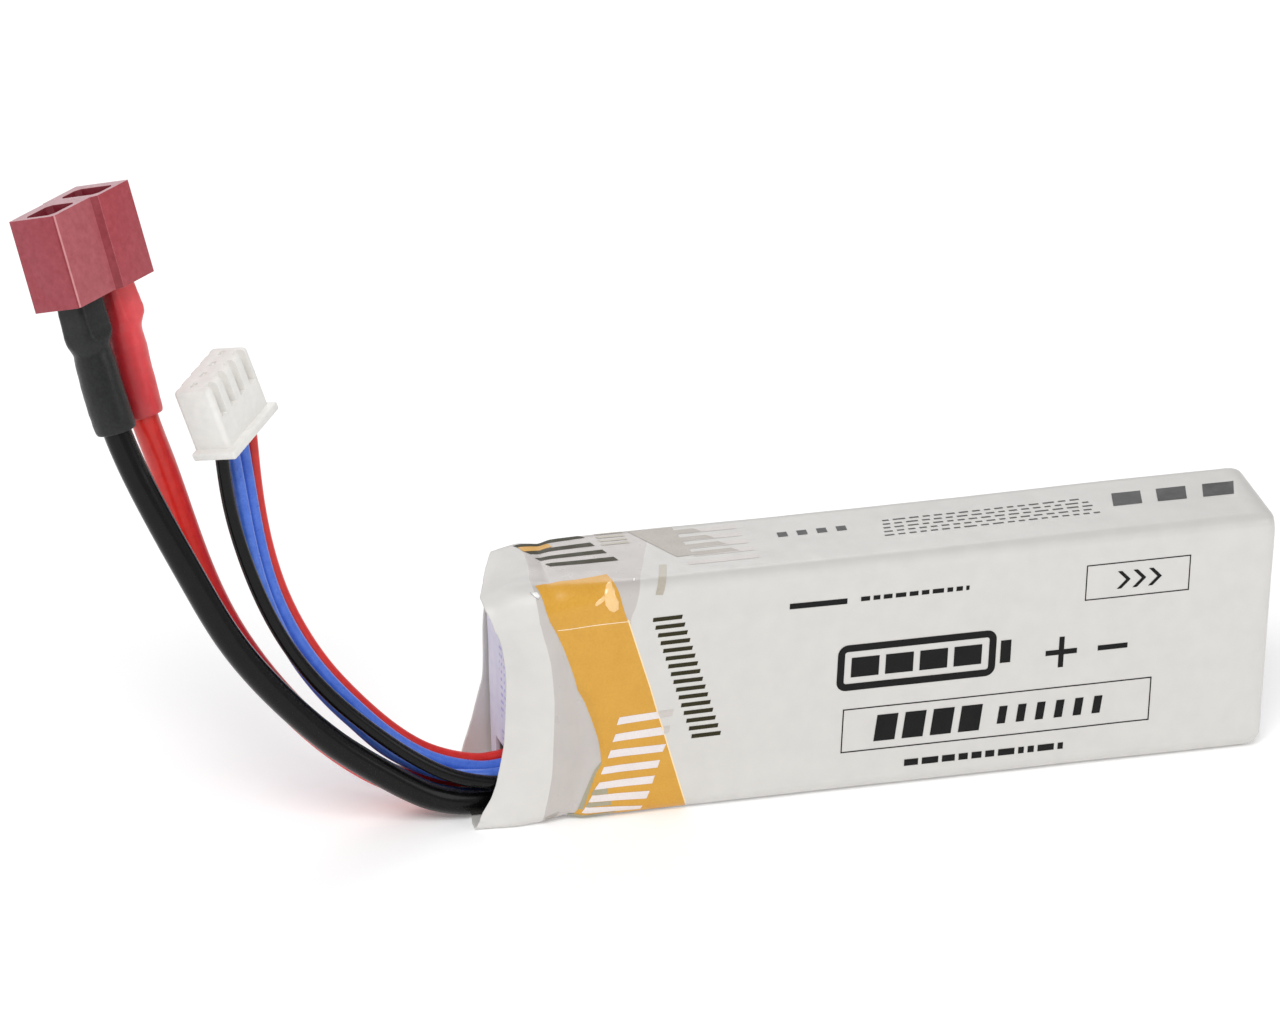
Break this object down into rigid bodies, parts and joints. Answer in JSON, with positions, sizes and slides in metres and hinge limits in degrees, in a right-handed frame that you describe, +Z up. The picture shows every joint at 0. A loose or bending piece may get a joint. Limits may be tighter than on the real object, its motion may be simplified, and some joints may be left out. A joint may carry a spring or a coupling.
{
  "type": "lithium polymer battery pack",
  "caption": "Slim lithium polymer pack in a white shrink sleeve, with a T-plug on heavy leads and a small balance plug on thin leads.",
  "frame": {"origin": "middle of the long narrow edge the pack stands on, under the middle of the sleeve", "axes": "+X along the pack away from the lead end, +Y through its thickness away from the printed face, +Z up the width of the cells"},
  "size_m": [0.1613, 0.0278, 0.0825],
  "materials": {
    "film_white": "glossy printed heat-shrink film",
    "pouch_foil": "satin laminated pouch foil",
    "tab_aluminium": "satin",
    "tab_nickel": "satin nickel",
    "cell_tape": "matte double-sided tape",
    "binding_tape": "glossy amber tape",
    "insulation_card": "matte card",
    "board_green": "coated circuit board",
    "solder": "bright solder",
    "end_card": "matte printed card",
    "silicone_black": "satin silicone",
    "silicone_red": "satin silicone",
    "silicone_blue": "satin silicone",
    "sleeve_black": "satin glue-lined sleeve",
    "sleeve_red": "satin glue-lined sleeve",
    "nylon_red": "satin moulded nylon",
    "contact_gold": "polished",
    "spring_steel": "bright",
    "nylon_white": "satin moulded nylon",
    "terminal_tin": "bright tin"
  },
  "bodies": {
    "pack": {"wrap_film": "film_white", "cell_1": "pouch_foil", "cell_1_positive_tab": "tab_aluminium", "cell_1_negative_tab": "tab_nickel", "cell_2": "pouch_foil", "cell_2_positive_tab": "tab_aluminium", "cell_2_negative_tab": "tab_nickel", "cell_3": "pouch_foil", "cell_3_positive_tab": "tab_aluminium", "cell_3_negative_tab": "tab_nickel", "cell_tape_1": "cell_tape", "cell_tape_2": "cell_tape", "binding_tape_front": "binding_tape", "binding_tape_rear": "binding_tape", "insulation_card": "insulation_card", "tab_board": "board_green", "main_solder_black": "solder", "main_solder_red": "solder", "balance_solder_black": "solder", "balance_solder_blue_1": "solder", "balance_solder_blue_2": "solder", "balance_solder_red": "solder", "front_end_card": "end_card", "rear_end_card": "end_card", "main_lead_black": "silicone_black", "main_lead_red": "silicone_red", "balance_lead_black": "silicone_black", "balance_lead_blue_1": "silicone_blue", "balance_lead_blue_2": "silicone_blue", "balance_lead_red": "silicone_red", "t_plug_housing": "nylon_red", "t_plug_contact_black": "contact_gold", "t_plug_contact_red": "contact_gold", "sleeve_black": "sleeve_black", "sleeve_red": "sleeve_red", "plug_solder_black": "solder", "plug_solder_red": "solder", "balance_plug_housing": "nylon_white", "balance_terminal_1": "terminal_tin", "balance_terminal_2": "terminal_tin", "balance_terminal_3": "terminal_tin", "balance_terminal_4": "terminal_tin"},
    "leaf_spring_black": {"t_plug_spring_black": "spring_steel"},
    "leaf_spring_red": {"t_plug_spring_red": "spring_steel"}
  },
  "joints": [
    {"name": "leaf_spring_black_press", "type": "hinge", "parent": "pack", "child": "leaf_spring_black", "pos_m": [-0.10247, 0.00717, 0.07281], "axis": [0.7946, 0.6071, 0.0015], "range_deg": [0, 2.5], "stiffness_Nm_per_rad": 0.05},
    {"name": "leaf_spring_red_press", "type": "hinge", "parent": "pack", "child": "leaf_spring_red", "pos_m": [-0.09623, 0.01251, 0.07263], "axis": [-0.5641, 0.7392, -0.3681], "range_deg": [0, 2.5], "stiffness_Nm_per_rad": 0.05}
  ]
}
